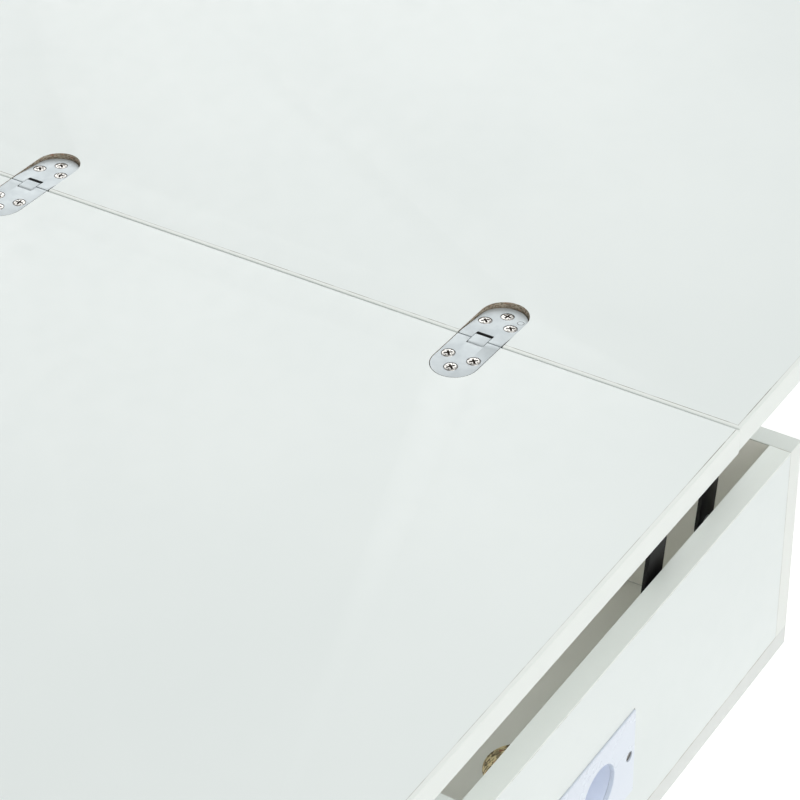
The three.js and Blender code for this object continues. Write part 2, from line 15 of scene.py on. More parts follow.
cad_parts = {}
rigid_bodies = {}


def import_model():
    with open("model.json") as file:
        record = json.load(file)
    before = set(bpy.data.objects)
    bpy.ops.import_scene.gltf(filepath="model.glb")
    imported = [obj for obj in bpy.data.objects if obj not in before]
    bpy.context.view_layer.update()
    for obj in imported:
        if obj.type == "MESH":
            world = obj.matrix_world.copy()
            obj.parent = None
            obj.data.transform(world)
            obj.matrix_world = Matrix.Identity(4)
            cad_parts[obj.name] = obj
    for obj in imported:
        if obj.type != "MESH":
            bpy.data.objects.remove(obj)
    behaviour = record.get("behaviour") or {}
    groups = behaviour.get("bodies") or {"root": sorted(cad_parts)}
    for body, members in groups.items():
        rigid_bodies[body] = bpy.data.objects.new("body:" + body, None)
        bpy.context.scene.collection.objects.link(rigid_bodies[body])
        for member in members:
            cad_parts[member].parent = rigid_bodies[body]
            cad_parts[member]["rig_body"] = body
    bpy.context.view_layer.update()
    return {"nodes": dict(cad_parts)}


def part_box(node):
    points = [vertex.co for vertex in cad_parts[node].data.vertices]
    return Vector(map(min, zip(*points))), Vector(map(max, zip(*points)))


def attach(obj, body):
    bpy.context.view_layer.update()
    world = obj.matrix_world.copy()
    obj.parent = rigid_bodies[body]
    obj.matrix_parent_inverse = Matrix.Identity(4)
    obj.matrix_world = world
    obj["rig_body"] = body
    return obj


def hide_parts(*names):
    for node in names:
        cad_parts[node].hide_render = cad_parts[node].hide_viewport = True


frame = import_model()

MM = 0.001
SIDES = (("right", -1), ("left", 1))
PLACES = ("right", "middle", "left")


# ---- Where things are, from the frame ----
def middle(node):
    low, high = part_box(node)
    return (low + high) / 2


TOP_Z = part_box("front_leaf")[1].z
WALL_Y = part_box("left_side_panel")[0].y  # inner face of each side panel, either side of the middle
ARM_LOW = middle("front_lower_pivot_right")
ARM_HIGH = middle("front_upper_pivot_right")
REAR_LOW = middle("rear_lower_pivot_right")
REAR_HIGH = middle("rear_upper_pivot_right")
STORAGE_WALLS = ("bottom_panel", "front_panel", "back_panel", "left_side_panel", "right_side_panel")
STORAGE_LOW = Vector((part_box("front_panel")[1].x, -WALL_Y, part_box("bottom_panel")[1].z))
STORAGE_HIGH = Vector((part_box("back_panel")[0].x, WALL_Y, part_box("back_panel")[1].z))
PIN_X = middle("hinge_rear_pin_right").x
PIN_Z = middle("hinge_rear_pin_right").z - TOP_Z


# ---- Materials ----
class Finish:
    """A procedural material. Its pattern coordinates are the part's own, in metres."""

    def __init__(self, name, colour=(0.8, 0.8, 0.8), **sockets):
        self.material = bpy.data.materials.new(name)
        self.material.use_nodes = True
        self.tree = self.material.node_tree
        self.shader = self.tree.nodes["Principled BSDF"]
        self.set("Base Color", (*colour, 1))
        for socket, value in sockets.items():
            self.set(socket.replace("_", " "), value)
        self.place = self.add("ShaderNodeTexCoord").outputs["Object"]

    def set(self, socket, value):
        self.shader.inputs[socket].default_value = value

    def add(self, kind, **settings):
        node = self.tree.nodes.new(kind)
        for key, value in settings.items():
            setattr(node, key, value)
        return node

    def feed(self, node, *values):
        """Gives a node's inputs, in order, a number or another node's output."""
        for socket, value in zip(node.inputs, values):
            if value is None:
                continue
            if isinstance(value, bpy.types.NodeSocket):
                self.tree.links.new(value, socket)
            else:
                socket.default_value = value
        return node.outputs[0]

    def math(self, operation, a, b=None):
        return self.feed(self.add("ShaderNodeMath", operation=operation), a, b)

    def vector(self, operation, a, b=None):
        return self.feed(self.add("ShaderNodeVectorMath", operation=operation), a, b)

    def noise(self, size, detail=2.0, roughness=0.5, stretch=(1, 1, 1)):
        """Soft noise whose features are about size metres wide, between 0 and 1."""
        place = self.vector("MULTIPLY", self.place, tuple(s / size for s in stretch))
        node = self.add("ShaderNodeTexNoise")
        self.tree.links.new(place, node.inputs["Vector"])
        node.inputs["Scale"].default_value = 1.0
        node.inputs["Detail"].default_value = detail
        node.inputs["Roughness"].default_value = roughness
        return node.outputs["Fac"]

    def cells(self, size, stretch=(1, 1, 1)):
        """A random colour for each cell, about size metres wide."""
        place = self.vector("MULTIPLY", self.place, tuple(s / size for s in stretch))
        node = self.add("ShaderNodeTexVoronoi")
        self.tree.links.new(place, node.inputs["Vector"])
        node.inputs["Scale"].default_value = 1.0
        return node.outputs["Color"]

    def spread(self, value, low, high, to_low=0.0, to_high=1.0):
        """Maps low..high smoothly to to_low..to_high and holds the ends."""
        node = self.add("ShaderNodeMapRange", interpolation_type="SMOOTHSTEP")
        return self.feed(node, value, low, high, to_low, to_high)

    def mix(self, share, a, b):
        """The colour a where share is 0, and b where it is 1."""
        node = self.add("ShaderNodeMix", data_type="RGBA")
        colours = [(*c, 1) if isinstance(c, tuple) else c for c in (a, b)]
        for socket, value in zip((node.inputs[0], node.inputs[6], node.inputs[7]), (share, *colours)):
            if isinstance(value, bpy.types.NodeSocket):
                self.tree.links.new(value, socket)
            else:
                socket.default_value = value
        return node.outputs[2]

    def colour(self, output):
        self.tree.links.new(output, self.shader.inputs["Base Color"])

    def roughness(self, value, low, high):
        self.tree.links.new(self.spread(value, 0.25, 0.75, low, high), self.shader.inputs["Roughness"])

    def bump(self, height, depth, strength=1.0):
        node = self.add("ShaderNodeBump")
        node.inputs["Strength"].default_value = strength
        node.inputs["Distance"].default_value = depth
        self.tree.links.new(height, node.inputs["Height"])
        self.tree.links.new(node.outputs["Normal"], self.shader.inputs["Normal"])
        return self.material


FACE_WHITE = (0.788, 0.838, 0.826)
WORN_WHITE = (0.768, 0.820, 0.809)
INSIDE_PAINTED_LIGHT_WHITE = (0.865, 0.850, 0.780)  # the storage's own faces: lighter and yellower than outside, painted light that brightens the shaded inside
LEAF_BAND_WHITE = (0.790, 0.830, 0.800)
# Painted light: the side panels' top bands are lighter than the faces, brightening rims that lie in the
# leaves' shade
RIM_BAND_PAINTED_LIGHT = (0.875, 0.908, 0.868)
WALL_BAND_WHITE = (0.790, 0.820, 0.788)
# Painted shade: the bottom panel's bands are darker than the other bands
LOW_BAND_PAINTED_SHADE = (0.715, 0.742, 0.722)
GLUE_LINE = (0.250, 0.245, 0.205)
JOINT_LINE = (0.330, 0.290, 0.230)
RED_FLAKE = (0.36, 0.13, 0.07)


def past_box(finish, low, high):
    """How far a point lies past a box on each axis, less than 0 within it."""
    inside = finish.vector("ABSOLUTE", finish.vector("SUBTRACT", finish.place, tuple((low + high) / 2)))
    axes = finish.add("ShaderNodeSeparateXYZ")
    finish.tree.links.new(finish.vector("SUBTRACT", inside, tuple((high - low) / 2)), axes.inputs[0])
    return axes


def board_finish(node, thin, banded, jointed, band, band_white):
    """White melamine, with edge bands along the axes in banded and butt joints along those in jointed.
    A joint along z is at the lower edge only."""
    low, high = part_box(node)
    finish = Finish(f"melamine_{node}", Roughness=0.42, IOR=1.46)
    axes = past_box(finish, low, high)

    def nearest(names):
        """How far a point lies past the nearest of these edges, less than 0 inside."""
        found = [axes.outputs["xyz".index(n)] for n in names]
        return found[0] if len(found) == 1 else finish.math("MAXIMUM", *found)

    cloud = finish.noise(180 * MM, 3.0)
    grime = finish.noise(14 * MM, 4.0, 0.6)
    face = finish.mix(finish.spread(cloud, 0.3, 0.7), FACE_WHITE, WORN_WHITE)
    # the storage's inside faces take the painted light white
    if node in STORAGE_WALLS:
        reach = past_box(finish, STORAGE_LOW, STORAGE_HIGH).outputs
        outermost = finish.math("MAXIMUM", finish.math("MAXIMUM", reach[0], reach[1]), reach[2])
        face = finish.mix(finish.spread(outermost, 0.2 * MM, 0.6 * MM, 1.0, 0.0), face, INSIDE_PAINTED_LIGHT_WHITE)
    edge = nearest(banded)
    in_band = finish.spread(edge, -band - 0.08 * MM, -band + 0.08 * MM)
    face = finish.mix(in_band, face, band_white)
    from_line = finish.math("ABSOLUTE", finish.math("ADD", edge, band))
    line = finish.spread(from_line, 0.05 * MM, 0.32 * MM, 1.0, 0.0)
    at = finish.add("ShaderNodeSeparateXYZ")
    finish.tree.links.new(finish.place, at.inputs[0])
    broken = finish.spread(finish.noise(30 * MM, 4.0, 0.7), 0.42, 0.60, 0.15, 1.0)
    if "leaf" in node:  # the lines show more strongly near the seam
        near_seam = finish.spread(finish.math("ABSOLUTE", at.outputs[0]), 32 * MM, 75 * MM, 1.0, 0.4)
        broken = finish.math("MULTIPLY", finish.math("ADD", broken, 0.35), near_seam)
    face = finish.mix(finish.math("MULTIPLY", line, broken), face, GLUE_LINE)
    faint = finish.spread(grime, 0.35, 0.65, 0.45, 0.95)
    for axis in jointed:
        if axis == "z":
            on_face = finish.spread(nearest(thin), -0.4 * MM, -0.2 * MM)
            gap = finish.math("SUBTRACT", low.z, at.outputs[2])
            butt = finish.math("MULTIPLY", finish.spread(gap, -0.85 * MM, -0.45 * MM), on_face)
        else:
            butt = finish.spread(nearest(axis), -0.85 * MM, -0.45 * MM)
        face = finish.mix(finish.math("MULTIPLY", butt, faint), face, JOINT_LINE)
    finish.colour(face)
    finish.roughness(grime, 0.36, 0.48)
    pearl = finish.math("ADD", finish.noise(0.9 * MM, 2.0), finish.math("MULTIPLY", line, -0.8))
    return finish.bump(pearl, 0.02 * MM, 0.35)


def raw_chipboard(name, size, dark, light, fine):
    """Glued wood chips, each with its own tone, and fine fibres between them."""
    finish = Finish(name, light, Roughness=0.9)
    chips = finish.cells(size, stretch=(1, 1, 2.2))
    tone = finish.add("ShaderNodeSeparateColor")
    finish.tree.links.new(chips, tone.inputs[0])
    fibre = finish.noise(0.7 * MM, 4.0, 0.7, stretch=(1, 1, 3))
    wood = finish.mix(finish.spread(tone.outputs[0], 0.15, 0.8), dark, light)
    wood = finish.mix(finish.spread(tone.outputs[1], 0.9, 0.93, 0.0, 0.7), wood, RED_FLAKE)
    finish.colour(finish.mix(finish.spread(fibre, 0.3, 0.75, 0.0, 0.45), wood, fine))
    finish.roughness(fibre, 0.8, 0.97)
    return finish.bump(finish.math("ADD", fibre, tone.outputs[2]), 0.35 * MM, 0.8)


def powder_coat():
    """Black powder coat with a fine grain and slightly rubbed patches."""
    finish = Finish("black_powder_coat", (0.009, 0.009, 0.009), IOR=1.5, Specular_IOR_Level=0.35)
    grain = finish.noise(0.55 * MM, 3.0, 0.6)
    rub = finish.noise(28 * MM, 4.0, 0.65, stretch=(1, 1, 0.4))
    finish.colour(finish.mix(finish.spread(rub, 0.45, 0.75), (0.008, 0.008, 0.008), (0.014, 0.014, 0.014)))
    finish.roughness(rub, 0.5, 0.66)
    return finish.bump(grain, 0.05 * MM, 0.6)


def plated(name, light, dark, smooth, rough, brush=(1, 1, 1), metal=1.0):
    """Plated steel with a faint brushed grain and cloudy handling marks."""
    finish = Finish(name, light, Metallic=metal)
    cloud = finish.noise(9 * MM, 3.0)
    grain = finish.noise(0.35 * MM, 2.0, stretch=brush)
    finish.colour(finish.mix(finish.spread(cloud, 0.3, 0.7), light, dark))
    finish.roughness(finish.math("MULTIPLY", finish.math("ADD", cloud, grain), 0.5), smooth, rough)
    return finish.bump(grain, 0.012 * MM, 0.35)


def recess_shade_finish():
    """Painted shade: the dark colour in a screw's recess, its ticks and a screw's slot, where shade falls."""
    finish = Finish("recess_painted_shade", (0.03, 0.02, 0.014), Roughness=0.85)
    shade_speckle = finish.noise(0.5 * MM, 3.0)
    finish.colour(finish.mix(shade_speckle, (0.012, 0.008, 0.006), (0.075, 0.050, 0.032)))
    return finish.bump(shade_speckle, 0.1 * MM, 0.6)


def moulded(name, colour, shade, smooth, rough, texture=0.45 * MM, **sockets):
    """Injection moulded plastic: nearly even colour, a varied shine and very slight sink marks."""
    finish = Finish(name, colour, **sockets)
    cloud = finish.noise(24 * MM, 2.0)
    spark = finish.noise(texture, 3.0, 0.6)
    finish.colour(finish.mix(finish.spread(cloud, 0.3, 0.7), colour, shade))
    finish.roughness(spark, smooth, rough)
    return finish.bump(cloud, 0.08 * MM, 0.08)


MILLED_CHIPBOARD = raw_chipboard("milled_chipboard", 1.3 * MM, (0.200, 0.160, 0.115), (0.540, 0.475, 0.370),
                                 (0.36, 0.315, 0.245))
SAWN_CHIPBOARD = raw_chipboard("sawn_chipboard", 3.4 * MM, (0.085, 0.060, 0.025), (0.860, 0.740, 0.420),
                               (0.42, 0.36, 0.21))
BLACK = powder_coat()
BRUSHED = (1, 8, 1)  # brush marks run along X
HINGE = plated("nickel_hinge_steel", (0.575, 0.625, 0.645), (0.530, 0.580, 0.603), 0.44, 0.58, BRUSHED, 0.45)
# Painted shade: a dark copy of the hinge steel for the plates' cut walls, underside, seats and stamped groove
HINGE_EDGE_SHADE = plated("hinge_edge_painted_shade", (0.075, 0.075, 0.070), (0.040, 0.040, 0.038), 0.5, 0.7, BRUSHED, 0.5)
SCREW = plated("nickel_screw_steel", (0.63, 0.62, 0.595), (0.46, 0.45, 0.43), 0.16, 0.28)
ZINC = plated("zinc_plated_steel", (0.66, 0.68, 0.70), (0.56, 0.57, 0.57), 0.26, 0.42)
CONTACT = plated("contact_metal", (0.70, 0.66, 0.56), (0.58, 0.53, 0.43), 0.22, 0.36)
# painted shade for screw recesses, ticks and slots
RECESS_SHADE = recess_shade_finish()
PLATE = moulded("socket_plate_plastic", (0.725, 0.785, 0.872), (0.718, 0.778, 0.866), 0.26, 0.29, 30 * MM,
                IOR=1.49)
# Painted light: the cup's plastic is lighter than the face plate's, brightening the shaded recess
SOCKET_CUP_LIGHTENED = moulded("socket_cup_plastic_painted_light", (0.795, 0.855, 0.98), (0.775, 0.835, 0.96), 0.18, 0.24, 30 * MM, IOR=1.52)
# Painted shade: a dark steel for the face screws' heads, which sit in shade below the plate's surface
FACE_SCREW_SHADED = plated("face_screw_painted_shade", (0.26, 0.26, 0.255), (0.17, 0.17, 0.165), 0.35, 0.5, metal=0.8)
DARK = moulded("dark_plastic", (0.022, 0.023, 0.025), (0.03, 0.031, 0.033), 0.45, 0.6, 0.7 * MM)
GLIDE = moulded("glide_plastic", (0.035, 0.035, 0.036), (0.05, 0.05, 0.05), 0.5, 0.7, 1.0 * MM)
BUMPER = moulded("clear_bumper_rubber", (0.62, 0.62, 0.60), (0.56, 0.56, 0.54), 0.35, 0.5,
                 Transmission_Weight=0.25)


# ---- Mesh building ----
def rounded(corners, steps=6):
    """A polygon with rounded corners, each (x, y, radius), anticlockwise. It returns a function that gives
    the outline's points drawn in by an inset."""
    def outline(inset=0.0):
        points = []
        for i, (bx, by, r) in enumerate(corners):
            ax, ay, _ = corners[i - 1]
            cx, cy, _ = corners[(i + 1) % len(corners)]
            u = Vector((bx - ax, by - ay)).normalized()
            v = Vector((cx - bx, cy - by)).normalized()
            turn = math.atan2(u.x * v.y - u.y * v.x, u.dot(v))
            sign = math.copysign(1, turn)
            nu, nv = Vector((-u.y, u.x)), Vector((-v.y, v.x))
            bisector = (nu + nv) / (1 + nu.dot(nv))
            radius = max(r - sign * inset, 0.02 * MM)
            centre = Vector((bx, by)) + bisector * (inset + sign * radius)
            start = -sign * nu * radius
            for k in range(steps + 1):
                points.append(centre + Matrix.Rotation(turn * k / steps, 2) @ start)
        return points
    return outline


def rectangle(x0, y0, x1, y1, radius, steps=6):
    return rounded([(x0, y0, radius), (x1, y0, radius), (x1, y1, radius), (x0, y1, radius)], steps)


def ring(bm, radius, z, segments, x=0.0, y=0.0):
    """A circle of vertices."""
    turns = [2 * math.pi * k / segments for k in range(segments)]
    return [bm.verts.new((x + radius * math.cos(t), y + radius * math.sin(t), z)) for t in turns]


def walls_between(bm, low, high):
    """Joins two closed loops of vertices with a band of faces."""
    for i in range(len(low)):
        j = (i + 1) % len(low)
        bm.faces.new((low[i], low[j], high[j], high[i]))


def slab(outline, z0, z1, edge=0.2 * MM, holes=(), segments=32, steps=3):
    """A flat plate with eased edges. Each hole is (x, y, profile), its profile (z, radius) pairs upwards."""
    bm = bmesh.new()
    eased = [(edge * (1 - math.sin(a)), edge * (1 - math.cos(a)))
             for a in (math.pi / 2 * k / steps for k in range(steps + 1))]
    levels = [(z0 + dz, inset) for inset, dz in eased]
    levels += [(z1 - dz, inset) for inset, dz in reversed(eased)]
    stacks = [[[bm.verts.new((*p, z)) for p in outline(inset)] for z, inset in levels]]
    for x, y, profile in holes:
        stacks.append([ring(bm, radius, z, segments, x, y) for z, radius in profile])
    for stack in stacks:
        for low, high in zip(stack, stack[1:]):
            walls_between(bm, low, high)
    for level in (0, -1):
        loops = [stack[level] for stack in stacks]
        flat = [v for loop in loops for v in loop]
        for triangle in tessellate_polygon([[v.co for v in loop] for loop in loops]):
            bm.faces.new([flat[i] for i in triangle])
    bmesh.ops.remove_doubles(bm, verts=bm.verts[:], dist=0.001 * MM)
    bmesh.ops.recalc_face_normals(bm, faces=bm.faces[:])
    return bm


def lathe(profile, segments=40):
    """A section turned about Z, as (radius, z) pairs. It closes on the axis or on itself."""
    bm = bmesh.new()
    rings = [ring(bm, r, z, segments) if r else [bm.verts.new((0, 0, z))] for r, z in profile]
    pairs = list(zip(rings, rings[1:]))
    if profile[0][0]:
        pairs.append((rings[-1], rings[0]))
    for low, high in pairs:
        if len(low) > 1 and len(high) > 1:
            walls_between(bm, low, high)
            continue
        tip, rim = (low, high) if len(low) == 1 else (high, low)
        for i in range(segments):
            bm.faces.new((tip[0], rim[i], rim[(i + 1) % segments]))
    bmesh.ops.recalc_face_normals(bm, faces=bm.faces[:])
    return bm


def to_mesh(bm, name="scratch"):
    mesh = bpy.data.meshes.new(name)
    bm.to_mesh(mesh)
    bm.free()
    return mesh


def baked(mesh, kind, **settings):
    """The mesh with one modifier applied."""
    holder = bpy.data.objects.new("holder", mesh)
    bpy.context.scene.collection.objects.link(holder)
    modifier = holder.modifiers.new(kind, kind)
    for key, value in settings.items():
        setattr(modifier, key, value)
    graph = bpy.context.evaluated_depsgraph_get()
    made = bpy.data.meshes.new_from_object(holder.evaluated_get(graph), depsgraph=graph)
    bpy.data.objects.remove(holder)
    return made


def boolean(mesh, tool, operation):
    """The mesh cut or joined by another one, exactly."""
    other = bpy.data.objects.new("tool", tool)
    bpy.context.scene.collection.objects.link(other)
    made = baked(mesh, "BOOLEAN", object=other, operation=operation, solver="EXACT", material_mode="TRANSFER")
    bpy.data.objects.remove(other)
    return made


def softened(mesh, width, segments=2, angle=35):
    """The mesh with its sharp edges bevelled."""
    return baked(mesh, "BEVEL", width=width, segments=segments, limit_method="ANGLE",
                 angle_limit=math.radians(angle), harden_normals=False)


def finished(mesh, name, matrix=None, smooth_angle=38):
    """Names the mesh, places it and smooths what is round."""
    bm = bmesh.new()
    bm.from_mesh(mesh)
    if matrix is not None:
        bm.transform(matrix)
    bmesh.ops.recalc_face_normals(bm, faces=bm.faces[:])
    bm.to_mesh(mesh)
    bm.free()
    mesh.shade_smooth()
    mesh.set_sharp_from_angle(angle=math.radians(smooth_angle))
    mesh.name = name
    return mesh


def clean_solid(node):
    """A CAD solid as a bmesh, with each flat face in one piece."""
    bm = bmesh.new()
    bm.from_mesh(frame["nodes"][node].data)
    bmesh.ops.remove_doubles(bm, verts=bm.verts[:], dist=0.002 * MM)
    bmesh.ops.dissolve_limit(bm, angle_limit=math.radians(0.5), verts=bm.verts[:], edges=bm.edges[:])
    return bm


def piece(name, mesh, body, slot, *finishes, stands_for=()):
    """Adds one piece. It rides on its body and hides the nodes it stands for. Its slot is not used."""
    made = bpy.data.objects.new(name, mesh)
    bpy.context.scene.collection.objects.link(made)
    if finishes:
        mesh.materials.clear()
        for finish in finishes:
            mesh.materials.append(finish)
    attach(made, body)
    if stands_for:
        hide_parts(*stands_for)
    return made


def body_of(node):
    return frame["nodes"][node]["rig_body"]


def replace(node, mesh, slot, *finishes):
    """A finely made piece in the place of one CAD node."""
    return piece(f"{node}_fine", mesh, body_of(node), slot, *finishes, stands_for=(node,))


def inwards(side, x, w, z):
    """Places a piece drawn in local X and Y, with Z its thickness: X stays, Y goes up, and Z runs inwards
    from a side panel's inner face, where w is 0."""
    return Matrix(((1, 0, 0, x), (0, 0, -side, side * (WALL_Y - w)), (0, 1, 0, z), (0, 0, 0, 1)))


# ---- Boards ----
BOARDS = {  # node: thin axis, banded axes, jointed axes, rounding of the edges, colour of the bands
    "front_leaf": ("z", "y", "", 0.8 * MM, LEAF_BAND_WHITE),
    "rear_leaf": ("z", "xy", "", 0.8 * MM, LEAF_BAND_WHITE),
    "bottom_panel": ("z", "xy", "", 0.5 * MM, LOW_BAND_PAINTED_SHADE),
    "front_panel": ("x", "yz", "z", 0.5 * MM, WALL_BAND_WHITE),
    "back_panel": ("x", "yz", "z", 0.5 * MM, WALL_BAND_WHITE),
    "left_side_panel": ("y", "z", "xz", 0.35 * MM, RIM_BAND_PAINTED_LIGHT),
    "right_side_panel": ("y", "z", "xz", 0.35 * MM, RIM_BAND_PAINTED_LIGHT),
    "leg_panel_left": ("y", "xz", "", 0.5 * MM, WALL_BAND_WHITE),
    "leg_panel_right": ("y", "xz", "", 0.5 * MM, WALL_BAND_WHITE),
    "stretcher_panel": ("x", "z", "yz", 0.35 * MM, WALL_BAND_WHITE),
}
LEAF_BAND = 2.4 * MM
PANEL_BAND = 0.9 * MM
CUT_EDGE = 0.12 * MM
ON_OUTSIDE = 0.02 * MM
LEAST_CORNER = math.radians(30)


def board(node, thin, banded, jointed, rounding, band_white):
    """One board: its outer edges are rounded, its cuts barely eased, and the cuts show raw chipboard."""
    low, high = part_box(node)
    bm = clean_solid(node)
    bmesh.ops.recalc_face_normals(bm, faces=bm.faces[:])

    def outer_axes(point):
        return [i for i in range(3) if min(abs(point[i] - low[i]), abs(point[i] - high[i])) < ON_OUTSIDE]

    weight = bm.edges.layers.float.new("bevel_weight_edge")
    for edge in bm.edges:
        if len(edge.link_faces) != 2 or edge.calc_face_angle(0) < LEAST_CORNER:
            continue
        perimeter = len(outer_axes((edge.verts[0].co + edge.verts[1].co) / 2)) >= 2
        edge[weight] = 1.0 if perimeter else CUT_EDGE / rounding
    for face in bm.faces:
        face.material_index = 0 if outer_axes(face.calc_center_median()) else 1
    mesh = to_mesh(bm)
    band = LEAF_BAND if "leaf" in node else PANEL_BAND
    mesh.materials.append(board_finish(node, thin, banded, jointed, band, band_white))
    mesh.materials.append(SAWN_CHIPBOARD if node == "bottom_panel" else MILLED_CHIPBOARD)
    mesh = baked(mesh, "BEVEL", width=rounding, segments=4, limit_method="WEIGHT")
    replace(node, finished(mesh, node, smooth_angle=25), "board")


for node, look in BOARDS.items():
    board(node, *look)


# ---- Screws ----
HEAD_RADIUS = 3.9 * MM
HEAD_DOME = 0.5 * MM
HEAD_CONE = 1.6 * MM
SHANK = 9 * MM
SHANK_RADIUS = 1.9 * MM
SEAT_BORE = 2.3 * MM
SEAT_MOUTH = 4.25 * MM
SCREW_SINK = 0.15 * MM
RECESS_LEVELS = (  # height, reach of the arms, half their width
    (-1.35 * MM, 1.2 * MM, 0.42 * MM),
    (-0.05 * MM, 2.5 * MM, 0.62 * MM),
    (0.9 * MM, 3.05 * MM, 0.76 * MM),
)
TICK_START = 1.9 * MM
TICK_END = 3.6 * MM
TICK_HALF = 0.22 * MM


def screw_seat(bottom, top):
    """The profile of a countersunk hole that leaves a narrow ring open round the head."""
    bore = [(bottom, SEAT_BORE), (top - 1.85 * MM, SEAT_BORE)]
    return [*bore, (top - 0.45 * MM, 4.15 * MM), (top, SEAT_MOUTH)]


def cross_outline(reach, web):
    """The twelve corners of a cross with arms that reach from its middle and are twice web wide."""
    points = []
    for k in range(4):
        quarter = Matrix.Rotation(math.pi / 2 * k, 2)
        points += [quarter @ Vector(p) for p in ((reach, -web), (reach, web), (web, web))]
    return points


def screw_blank():
    """A raised countersunk head on its pointed shank."""
    turns_up = [math.pi / 2 * k / 7 for k in range(7)]
    dome = [(HEAD_RADIUS * math.cos(a), HEAD_DOME * math.sin(a)) for a in turns_up]
    tip = -HEAD_CONE - SHANK
    point = [(0, tip), (SHANK_RADIUS * 0.5, tip + 2 * MM), (SHANK_RADIUS, tip + 5 * MM)]
    cone = [(SHANK_RADIUS, -HEAD_CONE), (HEAD_RADIUS, -0.12 * MM)]
    head = to_mesh(lathe([*point, *cone, *dome, (0, HEAD_DOME)], 36))
    head.materials.append(SCREW)
    return head


def cross_recess():
    """The cutter for the cross: clean steel at its mouth and painted shade further down."""
    recess = bmesh.new()
    loops = []
    for z, reach, web in RECESS_LEVELS:
        loops.append([recess.verts.new((*p, z)) for p in cross_outline(reach, web)])
    for low, high in zip(loops, loops[1:]):
        walls_between(recess, low, high)
    for loop in (loops[0], loops[-1]):
        for triangle in tessellate_polygon([[v.co for v in loop]]):
            recess.faces.new([loop[i] for i in triangle])
    bmesh.ops.recalc_face_normals(recess, faces=recess.faces[:])
    recess = to_mesh(recess)
    for finish in (SCREW, RECESS_SHADE):
        recess.materials.append(finish)
    # faces deep in the recess take the painted shade
    for face in recess.polygons:
        face.material_index = 1 if face.center.z < -0.1 * MM else 0
    return recess


def screw_mesh():
    """A cross recess screw with four ticks between the arms of its cross. Z = 0 is the plate's surface."""
    head = boolean(screw_blank(), cross_recess(), "DIFFERENCE")
    tick_outline = rectangle(TICK_START, -TICK_HALF, TICK_END, TICK_HALF, 0.05 * MM, 2)
    for k in range(4):
        tick = slab(tick_outline, -0.2 * MM, MM, 0.01 * MM)
        tick.transform(Matrix.Rotation(math.pi / 2 * (k + 0.5), 4, "Z"))
        tick = to_mesh(tick)
        # the ticks take the painted shade
        tick.materials.append(RECESS_SHADE)
        head = boolean(head, tick, "DIFFERENCE")
    return finished(head, "cross_recess_screw", smooth_angle=40)


SCREW_MESH = screw_mesh()
turns = random.Random(11)


def screw(name, matrix, body):
    """One screw, turned by chance as a real one ends up."""
    made = bpy.data.objects.new(name, SCREW_MESH)
    bpy.context.scene.collection.objects.link(made)
    made.matrix_world = matrix @ Matrix.Rotation(turns.uniform(0, math.pi / 2), 4, "Z")
    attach(made, body)


# ---- Flush hinges ----
PLATE_LENGTH = 41 * MM
PLATE_HALF = 14.35 * MM
PLATE_THICK = 2 * MM
KNUCKLE = 1.6 * MM
LINK_HALF = 5.25 * MM
PLATE_DROP = 0.1 * MM
KNUCKLE_REACH = 0.35 * MM
KNUCKLE_UNDER = 2.8 * MM
REAR_SLOT = 1.9 * MM
FRONT_SLOT = 0.5 * MM
PIN_RADIUS = 0.8 * MM
STAMP_PLACE = (29.2 * MM, -10.1 * MM)
STAMP_INNER = 1.85 * MM
STAMP_OUTER = 2.15 * MM
STAMP_DEPTH = 0.15 * MM
FAR_TILT = math.radians(5.2)
HINGE_SCREWS = ((20.3 * MM, -8.5 * MM), (20.3 * MM, 8.5 * MM), (31.3 * MM, 0.0))


def about_pin(angle):
    """A turn about a plate's pin, for a plate drawn with its seam edge at x = 0."""
    shift = Matrix.Translation((PIN_X, 0, PIN_Z))
    return shift @ Matrix.Rotation(angle, 4, "Y") @ shift.inverted()


